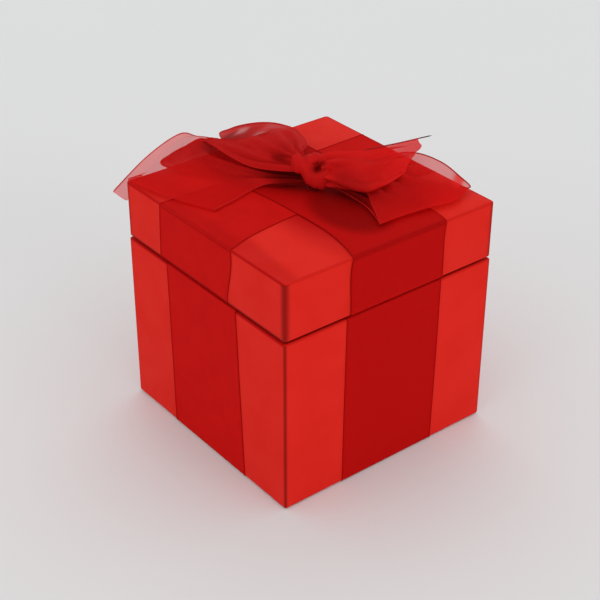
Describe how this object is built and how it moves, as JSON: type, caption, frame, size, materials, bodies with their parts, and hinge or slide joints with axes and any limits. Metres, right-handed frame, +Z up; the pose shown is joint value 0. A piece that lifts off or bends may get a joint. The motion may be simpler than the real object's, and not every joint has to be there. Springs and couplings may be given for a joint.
{
  "type": "gift box",
  "caption": "Square rigid gift box with a lift-off lid over a raised inner neck, sheer ribbon strips on its sides and lid, and a flat tied ribbon bow.",
  "frame": {"origin": "centre of the underside, at table level", "axes": "+Z up, -Y front, +X right; the box's walls face along X and Y"},
  "size_m": [0.0934, 0.0945, 0.1001],
  "materials": {
    "greyboard": "matt grey board, hidden under the paper",
    "corner_tape": "matt gummed paper",
    "wrap_paper": "matt red paper with a fine tooth",
    "lining_paper": "matt red paper",
    "strip_ribbon": "sheer woven ribbon with wired edges, laid flat",
    "bow_ribbon": "sheer woven ribbon with wired edges",
    "glue": "dried hot glue"
  },
  "bodies": {
    "base": {"base_floor_board": "greyboard", "base_front_board": "greyboard", "base_back_board": "greyboard", "base_left_board": "greyboard", "base_right_board": "greyboard", "base_corner_tapes": "corner_tape", "base_wrap": "wrap_paper", "base_foot_sheet": "lining_paper", "base_floor_lining": "lining_paper", "neck_front_board": "greyboard", "neck_back_board": "greyboard", "neck_left_board": "greyboard", "neck_right_board": "greyboard", "neck_wrap": "lining_paper", "base_ribbon_front": "strip_ribbon", "base_ribbon_back": "strip_ribbon", "base_ribbon_left": "strip_ribbon", "base_ribbon_right": "strip_ribbon"},
    "lid": {"lid_top_board": "greyboard", "lid_front_board": "greyboard", "lid_back_board": "greyboard", "lid_left_board": "greyboard", "lid_right_board": "greyboard", "lid_corner_tapes": "corner_tape", "lid_wrap": "wrap_paper", "lid_lining": "lining_paper", "lid_ribbon_across": "strip_ribbon", "lid_ribbon_along": "strip_ribbon", "bow_glue_dab": "glue", "bow_knot": "bow_ribbon", "bow_loop_back": "bow_ribbon", "bow_loop_right": "bow_ribbon", "bow_tail_left": "bow_ribbon", "bow_tail_right": "bow_ribbon"}
  },
  "joints": [
    {"name": "lid_lift", "type": "slide", "parent": "base", "child": "lid", "axis": [0, 0, 1], "range_m": [0, 0.1]}
  ]
}
